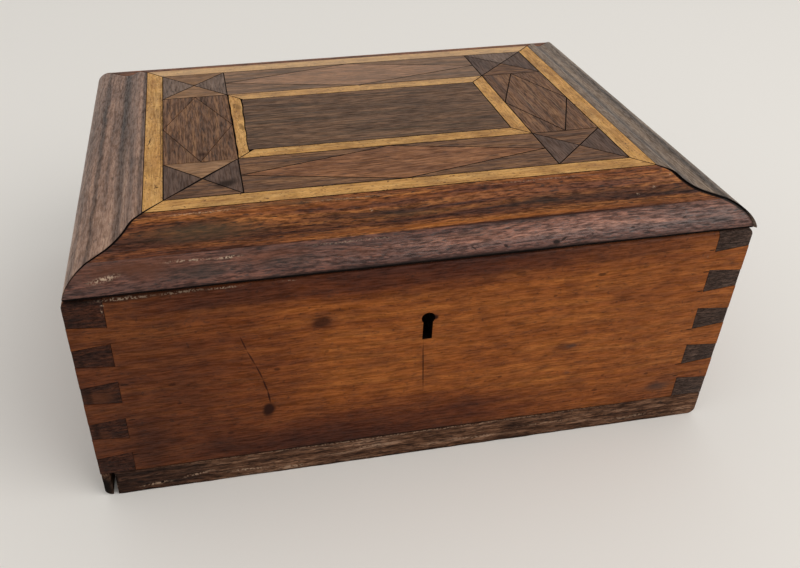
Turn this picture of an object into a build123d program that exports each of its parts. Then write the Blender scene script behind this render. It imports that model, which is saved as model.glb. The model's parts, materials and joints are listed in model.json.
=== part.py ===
from build123d import *
import os

os.makedirs("parts", exist_ok=True)

# A dovetailed wooden box with an inlaid lid, a key lock and one base strip that slides out
# sideways and carries the key. +X runs along the front from left to right, the front faces
# -Y, and the origin is the middle of the underside.

# Driving dimensions, mm
box_length = 305.0
box_depth = 228.0
base_height = 15.0
wall_height = 101.5
wall_thickness = 16.5
wall_top_round = 3.5
floor_thickness = 5.0
lid_seam = 0.5
joint_gap = 0.3

# How far a cutting shape runs past the face that it cuts
overcut = 1.0

# Dovetails: the pins are part of the side walls and show on the front and back
pin_count = 5
first_pin_rise = 6.0
last_pin_drop = 7.5
pin_height_outside = 9.2
pin_height_inside = 12.8
left_pin_drift = (-0.2, -0.1, -0.2, -0.9, -1.5)
right_pin_drift = (0.5, 0.4, 1.2, 1.7, 2.5)

# Base strips; the front one slides on a dovetail tongue
side_strip_width = 10.0
skid_radius = 4.0
corner_lip_width = 4.5
corner_gap = 1.8
front_strip_depth = 28.0
front_strip_clearance = 0.3
strip_travel = 70.0
strip_back_travel = 1.6
tongue_depth = 6.0
tongue_root_height = 4.0
tongue_tip_height = 7.0

# Stop pin that limits the sliding strip
stop_pin_radius = 1.5
stop_pin_left_of_centre = 60.0
stop_pin_in_wall = 6.0
stop_pin_in_strip = 3.5
stop_pin_clearance = 0.3

# Key trough and key
trough_length = 60.0
trough_width = 16.0
trough_depth = 8.5
trough_end_wall = 10.0
trough_front_wall = 4.0
key_bow_length = 17.0
key_bow_width = 14.0
key_bow_thickness = 2.6
key_bow_ring = 3.2
key_shank_radius = 2.1
key_shank_length = 34.0
key_bore_radius = 1.5
key_bore_depth = 12.0
key_bit_reach = 7.6
key_bit_width = 6.5
key_bit_thickness = 2.4
key_ward_width = 1.95
key_ward_depth = 1.9
key_collar_start = 1.5
key_collar_length = 2.5
key_collar_proud = 0.8
key_clearance = 0.3

# Lid; its moulding runs in from the edge as lip, ovolo, tread, cove, nosing and top flat
lid_end_inset = 1.2
lid_front_overhang = 0.4
lip_height = 1.0
ovolo_width = 10.3
ovolo_height = 9.6
tread_width = 5.3
tread_rise = 0.4
cove_width = 11.0
cove_height = 5.0
nosing_width = 3.0
nosing_height = 1.6
top_flat_width = 3.4
top_flat_rise = 0.4
proud_moulding = 1.2

# Each curve of the moulding passes through a point these shares of its way in and up
ovolo_bulge = (0.35, 0.62)
cove_hollow = (0.58, 0.34)
nosing_bulge = (0.43, 0.62)

# Lid panel and veneers
lid_panel_thickness = 10.0
veneer_thickness = 1.0
outer_stringing_width = 9.1
inner_stringing_width = 8.2
band_width_x = 35.3
band_width_y = 33.5

# Lock
keyhole_offset = 1.8
keyhole_below_top = 30.3
keyhole_radius = 3.1
keyhole_slot_width = 4.4
keyhole_drop = 11.9
case_width = 60.0
case_depth = 10.5
case_below_keyhole = 17.0
case_wall = 1.2
selvedge_thickness = 1.8
selvedge_overhang = 9.0
key_pin_radius = 1.3
key_pin_setback = 0.6
staple_spacing = 26.0
staple_thickness = 2.0
staple_width = 5.8
staple_drop = 13.0
staple_eye_width = 3.8
staple_eye_height = 5.0
staple_foot = 1.5
staple_clearance = 0.9
bolt_thickness = 2.8
bolt_bar_height = 4.5
prong_height = 2.8
prong_length = 5.0
prong_reveal = 1.5
bolt_post_width = 3.0
bar_below_staples = 1.0
talon_width = 18.0
talon_notch_width = 6.4
talon_rise_over_keyhole = 4.6
link_plate_length = 60.0
link_plate_thickness = 1.8
link_screw_from_end = 7.0
spring_thickness = 0.5
spring_rise = 5.0

# Butt hinges
hinge_length = 38.0
hinge_from_centre = 95.0
hinge_leaf_width = 12.0
hinge_leaf_thickness = 1.5
hinge_axis_behind_wall = 1.5
knuckle_count = 5
knuckle_radius = 2.5
knuckle_gap = 0.2
knuckle_clearance = 0.3
hinge_pin_radius = 1.2
hinge_pin_clearance = 0.05
hinge_screw_spacing = 12.0
hinge_screw_inset = 3.7

# Countersunk screws
screw_head_radius = 2.3
screw_shank_radius = 1.1
wall_screw_length = 12.0
lid_screw_length = 6.5
screw_slot_width = 0.7
screw_slot_depth = 0.6

# Planes and edges that follow from the sizes above
half_length = box_length / 2
half_depth = box_depth / 2
inner_x = half_length - wall_thickness
inner_y = half_depth - wall_thickness
wall_bottom = base_height
wall_top = base_height + wall_height
lid_bottom = wall_top + lid_seam
moulding_width = ovolo_width + tread_width + cove_width + nosing_width + top_flat_width
lid_top = (lid_bottom + lip_height + ovolo_height + tread_rise + cove_height + nosing_height
           + top_flat_rise)
veneer_bottom = lid_top - veneer_thickness
field_x = half_length - lid_end_inset - moulding_width
field_y = half_depth + lid_front_overhang - moulding_width
keyhole_z = wall_top - keyhole_below_top
case_bottom = keyhole_z - case_below_keyhole
case_top = wall_top - selvedge_thickness
case_front = -inner_y - case_depth
case_mid_y = -inner_y - case_depth / 2
board_front = -half_depth + front_strip_depth
board_x = half_length - side_strip_width
hinge_axis_y = half_depth + hinge_axis_behind_wall
hinge_axis_z = wall_top + lid_seam / 2
tongue_centre = base_height / 2


def block(x0, x1, y0, y1, z0, z1):
    centre = Pos((x0 + x1) / 2, (y0 + y1) / 2, (z0 + z1) / 2)
    return centre * Box(x1 - x0, y1 - y0, z1 - z0)


def outline(points):
    return make_face(Polyline(*points, close=True))


def prism_x(face, x0, x1):
    """A face drawn in Y and Z, run along X."""
    return Pos(x0, 0, 0) * extrude(Plane.YZ * face, x1 - x0)


def prism_y(face, y0, y1):
    """A face drawn in X and Z, run along Y."""
    return Pos(0, y1, 0) * extrude(Plane.XZ * face, y1 - y0)


def prism_z(face, z0, z1):
    """A face drawn in X and Y, run along Z."""
    return Pos(0, 0, z0) * extrude(Plane.XY * face, z1 - z0)


def rod_x(x0, x1, y, z, radius):
    return Pos((x0 + x1) / 2, y, z) * Rot(0, 90, 0) * Cylinder(radius, x1 - x0)


def rod_y(x, y0, y1, z, radius):
    return Pos(x, (y0 + y1) / 2, z) * Rot(90, 0, 0) * Cylinder(radius, y1 - y0)


def save(name, shape):
    shape.label = name
    export_step(shape, f"parts/{name}.step")


# Screws: the head's flat is at z = 0 and the point hangs down
def screw_body(length):
    cone_height = screw_head_radius - screw_shank_radius
    head = Pos(0, 0, -cone_height / 2) * Cone(screw_shank_radius, screw_head_radius, cone_height)
    return head + Pos(0, 0, -length / 2) * Cylinder(screw_shank_radius, length)


def screw(length):
    slot = Box(2 * screw_head_radius, screw_slot_width, 2 * screw_slot_depth)
    return screw_body(length) - slot


def place_all(shape, places):
    return [place * shape for place in places]


# Dovetail joint
def pin_outlines(side, drift):
    spacing = (wall_height - first_pin_rise - last_pin_drop) / (pin_count - 1)
    faces = []
    for number in range(pin_count):
        middle = wall_bottom + first_pin_rise + number * spacing + drift[number % len(drift)]
        low_out = middle - pin_height_outside / 2
        low_in = middle - pin_height_inside / 2
        high_out = middle + pin_height_outside / 2
        high_in = middle + pin_height_inside / 2
        if number == 0:
            low_out = low_in = wall_bottom
        if number == pin_count - 1:
            high_out = high_in = wall_top
        faces.append(outline([
            (side * half_length, low_out), (side * half_length, high_out),
            (side * inner_x, high_in), (side * inner_x, low_in)]))
    return faces


def pins(side, drift):
    return [prism_y(face, -half_depth, half_depth) for face in pin_outlines(side, drift)]


left_pins = pins(-1, left_pin_drift)
right_pins = pins(1, right_pin_drift)
wall_envelope = block(-half_length, half_length, -half_depth, half_depth, wall_bottom, wall_top)
wall_envelope = fillet(wall_envelope.edges().group_by(Axis.Z)[-1], wall_top_round)


def side_wall(side, side_pins):
    inside, outside = sorted((side * inner_x, side * half_length))
    board = block(inside, outside, -inner_y, inner_y, wall_bottom, wall_top)
    return (board + side_pins) & wall_envelope


def long_wall(y0, y1):
    board = block(-half_length, half_length, y0, y1, wall_bottom, wall_top)
    return (board - left_pins - right_pins) & wall_envelope


# Keyhole outline: a round top with a straight slot below it
def keyhole(y0, y1, extra=0.0):
    half_slot = keyhole_slot_width / 2 + extra
    slot = block(keyhole_offset - half_slot, keyhole_offset + half_slot, y0, y1,
                 keyhole_z - keyhole_drop - extra, keyhole_z)
    return slot + rod_y(keyhole_offset, y0, y1, keyhole_z, keyhole_radius + extra)


# Lock
case_x0 = keyhole_offset - case_width / 2
case_x1 = keyhole_offset + case_width / 2
selvedge_x0 = case_x0 - selvedge_overhang
selvedge_x1 = case_x1 + selvedge_overhang
staple_places = [keyhole_offset + side * staple_spacing / 2 for side in (-1, 1)]
staple_bottom = lid_bottom - staple_drop
eye_middle = staple_bottom + staple_foot + staple_eye_height / 2
selvedge_screw_places = [
    Pos(keyhole_offset + side * (case_width + selvedge_overhang) / 2, case_mid_y, wall_top)
    for side in (-1, 1)]


def staple_slots():
    half_x = staple_thickness / 2 + staple_clearance
    half_y = staple_width / 2 + staple_clearance
    return [block(x - half_x, x + half_x, case_mid_y - half_y, case_mid_y + half_y,
                  case_top - 2 * case_wall, wall_top) for x in staple_places]


def lock_case():
    shell = block(case_x0, case_x1, case_front + case_wall, -inner_y, case_bottom, case_top)
    hollow = block(case_x0 + case_wall, case_x1 - case_wall, case_front, -inner_y - case_wall,
                   case_bottom + case_wall, case_top - case_wall)
    return shell - hollow - staple_slots()


def lock_plate():
    plate = block(case_x0, case_x1, case_front, case_front + case_wall, case_bottom, case_top)
    return plate - keyhole(case_front - overcut, case_front + case_wall + overcut, joint_gap)


def lock_selvedge():
    plate = block(selvedge_x0, selvedge_x1, case_front, -inner_y, case_top, wall_top)
    return plate - staple_slots() - place_all(screw_body(wall_screw_length), selvedge_screw_places)


bar_top = staple_bottom - bar_below_staples
bar_bottom = bar_top - bolt_bar_height
bolt_y0 = case_mid_y - bolt_thickness / 2
bolt_y1 = case_mid_y + bolt_thickness / 2


def lock_bolt():
    prong_low = eye_middle - prong_height / 2
    prong_high = eye_middle + prong_height / 2
    first_tip = staple_places[0] - staple_thickness / 2 - prong_reveal
    bar_x0 = first_tip - prong_length - 2 * bolt_post_width
    bar_x1 = keyhole_offset + staple_spacing / 2 + bolt_post_width
    bolt = block(bar_x0, bar_x1, bolt_y0, bolt_y1, bar_bottom, bar_top)
    for x in staple_places:
        tip = x - staple_thickness / 2 - prong_reveal
        post = tip - prong_length - bolt_post_width
        bolt += block(post, post + bolt_post_width, bolt_y0, bolt_y1, bar_bottom, prong_high)
        bolt += block(post, tip, bolt_y0, bolt_y1, prong_low, prong_high)
    talon_low = keyhole_z + talon_rise_over_keyhole
    talon = block(keyhole_offset - talon_width / 2, keyhole_offset + talon_width / 2,
                  bolt_y0, bolt_y1, talon_low, bar_bottom)
    notch = block(keyhole_offset - talon_notch_width / 2, keyhole_offset + talon_notch_width / 2,
                  bolt_y0, bolt_y1, talon_low, bar_bottom)
    return bolt + talon - notch


def lock_spring():
    left = case_x0 + case_wall
    right = keyhole_offset - talon_width / 2 - case_wall
    low = bar_bottom - spring_rise
    high = bar_bottom - joint_gap
    upper = ThreePointArc((left, low), ((left + right) / 2, high), (right, low))
    lower = ThreePointArc((right, low - spring_thickness),
                          ((left + right) / 2, high - spring_thickness), (left, low - spring_thickness))
    ends = [Line(upper @ 1, lower @ 0), Line(lower @ 1, upper @ 0)]
    return prism_y(make_face([upper, ends[0], lower, ends[1]]), bolt_y0, bolt_y1)


def lock_key_pin():
    pin_front = case_front + case_wall + key_pin_setback
    return rod_y(keyhole_offset, pin_front, -inner_y - case_wall, keyhole_z, key_pin_radius)


link_x0 = keyhole_offset - link_plate_length / 2
link_x1 = keyhole_offset + link_plate_length / 2
link_screw_places = [
    Pos(keyhole_offset + side * (link_plate_length / 2 - link_screw_from_end), case_mid_y, lid_bottom)
    * Rot(180, 0, 0) for side in (-1, 1)]


def link_plate():
    plate = block(link_x0, link_x1, case_front, -inner_y, lid_bottom, lid_bottom + link_plate_thickness)
    for x in staple_places:
        staple = block(x - staple_thickness / 2, x + staple_thickness / 2,
                       case_mid_y - staple_width / 2, case_mid_y + staple_width / 2,
                       staple_bottom, lid_bottom)
        eye = block(x - staple_thickness, x + staple_thickness,
                    case_mid_y - staple_eye_width / 2, case_mid_y + staple_eye_width / 2,
                    eye_middle - staple_eye_height / 2, eye_middle + staple_eye_height / 2)
        plate += staple - eye
    return plate - place_all(screw_body(lid_screw_length), link_screw_places)


# Hinges
def knuckle_span(middle, number):
    pitch = hinge_length / knuckle_count
    start = middle - hinge_length / 2 + number * pitch
    return start, start + pitch


def hinge_leaf(middle, on_lid):
    own = 1 if on_lid else 0
    low = lid_bottom if on_lid else wall_top - hinge_leaf_thickness
    leaf = block(middle - hinge_length / 2, middle + hinge_length / 2,
                 hinge_axis_y - hinge_leaf_width, hinge_axis_y, low, low + hinge_leaf_thickness)
    for number in range(knuckle_count):
        x0, x1 = knuckle_span(middle, number)
        if number % 2 == own:
            trim_start = knuckle_gap / 2 if number else 0
            trim_end = knuckle_gap / 2 if number < knuckle_count - 1 else 0
            leaf += rod_x(x0 + trim_start, x1 - trim_end, hinge_axis_y, hinge_axis_z, knuckle_radius)
        else:
            leaf -= rod_x(x0 - knuckle_gap / 2, x1 + knuckle_gap / 2, hinge_axis_y, hinge_axis_z,
                          knuckle_radius + knuckle_clearance)
    bore = rod_x(middle - hinge_length, middle + hinge_length, hinge_axis_y, hinge_axis_z,
                 hinge_pin_radius + hinge_pin_clearance)
    screws = place_all(screw_body(wall_screw_length), hinge_screw_places(middle, on_lid))
    return leaf - bore - screws


def hinge_screw_places(middle, on_lid):
    y = hinge_axis_y - hinge_leaf_width + hinge_screw_inset
    face = lid_bottom if on_lid else wall_top
    turn = Rot(180, 0, 0) if on_lid else Rot(0, 0, 0)
    return [Pos(middle + step * hinge_screw_spacing, y, face) * turn for step in (-1, 0, 1)]


def hinge_mortise(middle, on_lid):
    low = lid_bottom if on_lid else wall_top - hinge_leaf_thickness
    seat = block(middle - hinge_length / 2, middle + hinge_length / 2,
                 hinge_axis_y - hinge_leaf_width, hinge_axis_y, low, low + hinge_leaf_thickness)
    barrel = rod_x(middle - hinge_length / 2 - knuckle_clearance,
                   middle + hinge_length / 2 + knuckle_clearance,
                   hinge_axis_y, hinge_axis_z, knuckle_radius + knuckle_clearance)
    return seat + barrel


hinge_middles = {"left": -hinge_from_centre, "right": hinge_from_centre}
wall_hinge_screws = sum([hinge_screw_places(x, False) for x in hinge_middles.values()], [])
lid_hinge_screws = sum([hinge_screw_places(x, True) for x in hinge_middles.values()], [])


# Walls
def front_wall():
    mortise = block(case_x0, case_x1, case_front, -inner_y, case_bottom, case_top)
    seat = block(selvedge_x0, selvedge_x1, case_front, -inner_y, case_top, wall_top)
    wall = long_wall(-half_depth, -inner_y) - mortise - seat
    wall -= keyhole(-half_depth - overcut, case_front + overcut)
    wall -= place_all(screw_body(wall_screw_length), selvedge_screw_places)
    return wall - stop_pin()


def back_wall():
    wall = long_wall(inner_y, half_depth)
    wall -= [hinge_mortise(x, False) for x in hinge_middles.values()]
    return wall - place_all(screw_body(wall_screw_length), wall_hinge_screws)


def floor_panel():
    return block(-inner_x, inner_x, -inner_y, inner_y, wall_bottom, wall_bottom + floor_thickness)


# Base
def tongue_face(slack):
    root = tongue_root_height / 2 + slack
    tip = tongue_tip_height / 2 + slack
    end = board_front - tongue_depth - slack
    start = board_front + 2 * slack
    return outline([(start, tongue_centre - root), (start, tongue_centre + root),
                    (end, tongue_centre + tip), (end, tongue_centre - tip)])


def base_board():
    board = block(-board_x, board_x, board_front, half_depth - side_strip_width, 0, base_height)
    return board + prism_x(tongue_face(0), -board_x, board_x)


def side_strip(side, front_y):
    inside, outside = sorted((side * board_x, side * half_length))
    strip = block(inside, outside, front_y, half_depth, 0, base_height)
    if side < 0:
        lip = block(-half_length, -half_length + corner_lip_width, -half_depth, front_y, 0, base_height)
        strip += lip
    bottom_edges = strip.edges().filter_by(Axis.Y).group_by(Axis.Z)[0]
    return fillet(bottom_edges.group_by(Axis.X)[0 if side < 0 else -1], skid_radius)


def stop_pin():
    low = base_height - front_strip_clearance - stop_pin_in_strip
    high = base_height + stop_pin_in_wall
    y = -half_depth + trough_front_wall + trough_width / 2
    return Pos(-stop_pin_left_of_centre, y, (low + high) / 2) * Cylinder(stop_pin_radius, high - low)


strip_left = -half_length + corner_lip_width + corner_gap
strip_top = base_height - front_strip_clearance
trough_x1 = half_length - trough_end_wall
trough_x0 = trough_x1 - trough_length
trough_y0 = -half_depth + trough_front_wall
trough_y1 = trough_y0 + trough_width
trough_floor = strip_top - trough_depth


def base_strip_front():
    strip = block(strip_left, half_length, -half_depth, board_front - front_strip_clearance, 0, strip_top)
    corner = strip.edges().filter_by(Axis.Y).group_by(Axis.Z)[0].sort_by(Axis.X)[-1]
    strip = fillet(corner, skid_radius)
    strip -= prism_x(tongue_face(front_strip_clearance), strip_left - overcut, half_length + overcut)
    strip -= block(trough_x0, trough_x1, trough_y0, trough_y1, trough_floor, strip_top)
    slack = stop_pin_radius + stop_pin_clearance
    groove_y = (trough_y0 + trough_y1) / 2
    groove_floor = strip_top - stop_pin_in_strip - stop_pin_clearance
    groove = block(-stop_pin_left_of_centre - strip_travel - slack,
                   -stop_pin_left_of_centre + strip_back_travel + slack,
                   groove_y - slack, groove_y + slack, groove_floor, strip_top)
    return strip - groove


def key():
    y = (trough_y0 + trough_y1) / 2
    z = trough_floor + key_clearance + key_shank_radius
    tail = trough_x0 + 2 * key_clearance
    bow_middle = tail + key_bow_length / 2
    bow = extrude(Ellipse(key_bow_length / 2, key_bow_width / 2), key_bow_thickness / 2, both=True)
    hole = extrude(Ellipse(key_bow_length / 2 - key_bow_ring, key_bow_width / 2 - key_bow_ring),
                   key_bow_thickness, both=True)
    shank_start = tail + key_bow_length - key_bow_ring / 2
    tip = shank_start + key_shank_length
    shank = rod_x(shank_start, tip, y, z, key_shank_radius)
    collar_start = shank_start + key_collar_start
    collar = rod_x(collar_start, collar_start + key_collar_length, y, z, key_shank_radius + key_collar_proud)
    collar &= block(shank_start, tip, trough_y0, trough_y1, trough_floor + key_clearance, strip_top)
    bit = block(tip - key_bit_width, tip, y, y + key_bit_reach,
                z - key_bit_thickness / 2, z + key_bit_thickness / 2)
    ward_middle = tip - key_bit_width / 2
    ward = block(ward_middle - key_ward_width / 2, ward_middle + key_ward_width / 2,
                 y + key_bit_reach - key_ward_depth, y + key_bit_reach + overcut,
                 z - key_bit_thickness, z + key_bit_thickness)
    bore = rod_x(tip - key_bore_depth, tip + overcut, y, z, key_bore_radius)
    return Pos(bow_middle, y, z) * (bow - hole) + shank + collar + bit - ward - bore


# Lid mouldings: the section is drawn in from the outer edge, then mitred
def moulding_section(extra):
    """Y is the distance out from the field, Z the height, and extra widens the top flat."""
    edge = moulding_width + extra
    lip = (edge, lid_bottom + lip_height)
    tread = (lip[0] - ovolo_width, lip[1] + ovolo_height)
    cove = (tread[0] - tread_width, tread[1] + tread_rise)
    nosing = (cove[0] - cove_width, cove[1] + cove_height)
    top = (nosing[0] - nosing_width, nosing[1] + nosing_height)
    return make_face([
        Line((0, lid_bottom), (edge, lid_bottom)),
        Line((edge, lid_bottom), lip),
        bowed(lip, tread, ovolo_bulge),
        Line(tread, cove),
        bowed(cove, nosing, cove_hollow),
        bowed(nosing, top, nosing_bulge),
        Line(top, (0, lid_top)),
        Line((0, lid_top), (0, lid_bottom))])


def bowed(start, end, shares):
    """An arc through a point that lies the given shares of the way in and up."""
    between = (start[0] + shares[0] * (end[0] - start[0]), start[1] + shares[1] * (end[1] - start[1]))
    return ThreePointArc(start, between, end)


def moulding(field_half_run, field_half_across, extra):
    """A front moulding: its field edge is at -field_half_across, its run is along X."""
    reach = 2 * moulding_width
    run = field_half_run + reach
    bar = mirror(prism_x(moulding_section(extra), -run, run), Plane.XZ)
    bar = Pos(0, -field_half_across, 0) * bar
    slack = joint_gap / 2 * 2 ** 0.5
    keep = outline([
        (-field_half_run + slack, -field_half_across), (field_half_run - slack, -field_half_across),
        (field_half_run - slack + reach, -field_half_across - reach),
        (-field_half_run + slack - reach, -field_half_across - reach)])
    return bar & prism_z(keep, lid_bottom - overcut, lid_top + overcut)


def lid_moulding_front():
    bar = moulding(field_x, field_y, 0.0)
    seat = block(link_x0, link_x1, case_front, -inner_y, lid_bottom, lid_bottom + link_plate_thickness)
    return bar - seat - place_all(screw_body(lid_screw_length), link_screw_places)


def lid_moulding_back():
    bar = Rot(0, 0, 180) * moulding(field_x, field_y, 0.0)
    bar -= [hinge_mortise(x, True) for x in hinge_middles.values()]
    return bar - place_all(screw_body(lid_screw_length), lid_hinge_screws)


def lid_moulding_left():
    return Rot(0, 0, -90) * moulding(field_y, field_x, 0.0)


def lid_moulding_right():
    return Rot(0, 0, 90) * moulding(field_y, field_x, proud_moulding)


def lid_panel():
    return block(-field_x, field_x, -field_y, field_y, veneer_bottom - lid_panel_thickness, veneer_bottom)


# Veneers: each patch is drawn to its seams and then drawn in by half a gap
def veneer(points):
    face = offset(outline(points), -joint_gap / 2, kind=Kind.INTERSECTION)
    return prism_z(face, veneer_bottom, lid_top)


def mitred_strips(outer_x, outer_y, width):
    ix = outer_x - width
    iy = outer_y - width
    return {
        "front": [(-outer_x, -outer_y), (outer_x, -outer_y), (ix, -iy), (-ix, -iy)],
        "back": [(-outer_x, outer_y), (-ix, iy), (ix, iy), (outer_x, outer_y)],
        "left": [(-outer_x, -outer_y), (-ix, -iy), (-ix, iy), (-outer_x, outer_y)],
        "right": [(outer_x, -outer_y), (outer_x, outer_y), (ix, iy), (ix, -iy)]}


band_outer_x = field_x - outer_stringing_width
band_outer_y = field_y - outer_stringing_width
band_inner_x = band_outer_x - band_width_x
band_inner_y = band_outer_y - band_width_y
centre_x = band_inner_x - inner_stringing_width
centre_y = band_inner_y - inner_stringing_width

bands = {
    "front": (-band_inner_x, band_inner_x, -band_outer_y, -band_inner_y),
    "back": (-band_inner_x, band_inner_x, band_inner_y, band_outer_y),
    "left": (-band_outer_x, -band_inner_x, -band_inner_y, band_inner_y),
    "right": (band_inner_x, band_outer_x, -band_inner_y, band_inner_y)}
corners = {
    "front_left": (-band_outer_x, -band_inner_x, -band_outer_y, -band_inner_y),
    "front_right": (band_inner_x, band_outer_x, -band_outer_y, -band_inner_y),
    "back_left": (-band_outer_x, -band_inner_x, band_inner_y, band_outer_y),
    "back_right": (band_inner_x, band_outer_x, band_inner_y, band_outer_y)}


def diamond_and_triangles(x0, x1, y0, y1):
    xm = (x0 + x1) / 2
    ym = (y0 + y1) / 2
    diamond = veneer([(x0, ym), (xm, y0), (x1, ym), (xm, y1)])
    triangles = [veneer(points) for points in (
        [(x0, y0), (xm, y0), (x0, ym)], [(xm, y0), (x1, y0), (x1, ym)],
        [(x1, ym), (x1, y1), (xm, y1)], [(xm, y1), (x0, y1), (x0, ym)])]
    return diamond, triangles


def quartered(x0, x1, y0, y1):
    middle = ((x0 + x1) / 2, (y0 + y1) / 2)
    ring = [(x0, y0), (x1, y0), (x1, y1), (x0, y1)]
    return [veneer([ring[n], ring[(n + 1) % 4], middle]) for n in range(4)]


save("base_board", base_board())
save("base_strip_left", side_strip(-1, board_front))
save("base_strip_right", side_strip(1, board_front + front_strip_clearance))
save("base_strip_back", block(-board_x, board_x, half_depth - side_strip_width, half_depth, 0, base_height))
save("base_strip_front", base_strip_front())
save("strip_stop_pin", stop_pin())
save("key", key())
save("floor_panel", floor_panel())
save("front_wall", front_wall())
save("back_wall", back_wall())
save("left_wall", side_wall(-1, left_pins))
save("right_wall", side_wall(1, right_pins))
save("lock_case", lock_case())
save("lock_plate", lock_plate())
save("lock_selvedge", lock_selvedge())
save("lock_key_pin", lock_key_pin())
save("lock_bolt", lock_bolt())
save("lock_spring", lock_spring())
save("lock_screws", Compound(place_all(screw(wall_screw_length), selvedge_screw_places)))
save("link_plate", link_plate())
save("link_plate_screws", Compound(place_all(screw(lid_screw_length), link_screw_places)))
for side_name, hinge_x in hinge_middles.items():
    save(f"hinge_{side_name}_box_leaf", hinge_leaf(hinge_x, False))
    save(f"hinge_{side_name}_lid_leaf", hinge_leaf(hinge_x, True))
    save(f"hinge_{side_name}_pin", rod_x(hinge_x - hinge_length / 2, hinge_x + hinge_length / 2,
                                         hinge_axis_y, hinge_axis_z, hinge_pin_radius))
save("hinge_screws_box", Compound(place_all(screw(wall_screw_length), wall_hinge_screws)))
save("hinge_screws_lid", Compound(place_all(screw(lid_screw_length), lid_hinge_screws)))
save("lid_panel", lid_panel())
save("lid_moulding_front", lid_moulding_front())
save("lid_moulding_back", lid_moulding_back())
save("lid_moulding_left", lid_moulding_left())
save("lid_moulding_right", lid_moulding_right())
for side_name, points in mitred_strips(field_x, field_y, outer_stringing_width).items():
    save(f"outer_stringing_{side_name}", veneer(points))
for side_name, points in mitred_strips(band_inner_x, band_inner_y, inner_stringing_width).items():
    save(f"inner_stringing_{side_name}", veneer(points))
for side_name, edges in bands.items():
    band_diamond, band_triangles = diamond_and_triangles(*edges)
    save(f"band_diamond_{side_name}", band_diamond)
    save(f"band_triangles_{side_name}", Compound(band_triangles))
for corner_name, edges in corners.items():
    save(f"corner_{corner_name}", Compound(quartered(*edges)))
save("centre_panel", veneer([(-centre_x, -centre_y), (centre_x, -centre_y), (centre_x, centre_y),
                             (-centre_x, centre_y)]))
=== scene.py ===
import json
import math

import bpy
from mathutils import Matrix, Vector


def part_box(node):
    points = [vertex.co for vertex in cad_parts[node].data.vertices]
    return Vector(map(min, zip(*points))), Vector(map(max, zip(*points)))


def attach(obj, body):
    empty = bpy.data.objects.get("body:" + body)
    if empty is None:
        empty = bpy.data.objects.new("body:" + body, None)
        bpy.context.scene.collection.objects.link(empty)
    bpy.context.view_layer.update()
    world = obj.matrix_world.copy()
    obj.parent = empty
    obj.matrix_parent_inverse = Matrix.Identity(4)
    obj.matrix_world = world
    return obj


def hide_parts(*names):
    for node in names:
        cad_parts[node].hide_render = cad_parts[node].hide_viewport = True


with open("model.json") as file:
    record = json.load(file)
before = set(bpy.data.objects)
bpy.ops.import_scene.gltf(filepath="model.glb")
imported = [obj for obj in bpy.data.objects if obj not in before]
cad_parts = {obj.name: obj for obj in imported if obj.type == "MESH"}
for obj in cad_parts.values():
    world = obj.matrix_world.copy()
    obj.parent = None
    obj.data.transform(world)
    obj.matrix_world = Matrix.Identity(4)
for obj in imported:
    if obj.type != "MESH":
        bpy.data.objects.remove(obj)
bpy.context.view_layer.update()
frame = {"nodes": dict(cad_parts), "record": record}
mm = 0.001  # the frame is in metres; sizes below are in mm and angles in degrees
mending = {"doubles": 0.001, "flat": 0.5, "sharp": 32}  # points merged, faces joined and edges eased
behaviour = frame["record"]["behaviour"]
bodyOfNode = {node: body for body, members in behaviour["bodies"].items() for node in members}
slotOfNode = {part["node"]: part["material_slot"] for part in frame["record"]["subparts"]}
print("frame loaded:", len(frame["nodes"]), "nodes")


def toLinear(hexColour):
    values = [int(hexColour[n:n + 2], 16) / 255 for n in (0, 2, 4)]
    return [v / 12.92 if v <= 0.04045 else ((v + 0.055) / 1.055) ** 2.4 for v in values] + [1.0]


def addNode(tree, kind, values=None, stops=None, **settings):  # values may be numbers or another node's output
    node = tree.nodes.new("ShaderNode" + kind)
    for name, setting in settings.items():
        setattr(node, name, setting)
    for name, value in (values or {}).items():
        if isinstance(value, bpy.types.NodeSocket):
            tree.links.new(value, node.inputs[name])
        else:
            node.inputs[name].default_value = value
    for number, (position, hexColour) in enumerate(stops or []):
        while len(node.color_ramp.elements) <= number:
            node.color_ramp.elements.new(1.0)
        node.color_ramp.elements[number].position = position
        node.color_ramp.elements[number].color = toLinear(hexColour)
    return node


def pickOnly(piece):
    bpy.ops.object.select_all(action="DESELECT")
    piece.select_set(True)
    bpy.context.view_layer.objects.active = piece


def copyOfNode(node, name):  # the frame's node stays as it is, and this merged copy is worked on
    piece = bpy.data.objects.new(name, frame["nodes"][node].data.copy())
    piece.data.materials.clear()
    bpy.context.scene.collection.objects.link(piece)
    pickOnly(piece)
    bpy.ops.object.mode_set(mode="EDIT")
    bpy.ops.mesh.select_all(action="SELECT")
    bpy.ops.mesh.customdata_custom_splitnormals_clear()
    bpy.ops.mesh.remove_doubles(threshold=mending["doubles"] * mm)
    bpy.ops.mesh.dissolve_limited(angle_limit=math.radians(mending["flat"]))
    bpy.ops.object.mode_set(mode="OBJECT")
    return piece


def applyModifier(piece, kind, **settings):
    pickOnly(piece)
    bpy.ops.object.modifier_add(type=kind)
    modifier = piece.modifiers[-1]
    for name, setting in settings.items():
        setattr(modifier, name, setting)
    bpy.ops.object.modifier_apply(modifier=modifier.name)


def easeEdges(piece, width, segments=2):
    applyModifier(piece, "BEVEL", width=width * mm, segments=segments, limit_method="ANGLE",
                  angle_limit=math.radians(mending["sharp"]))


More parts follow.
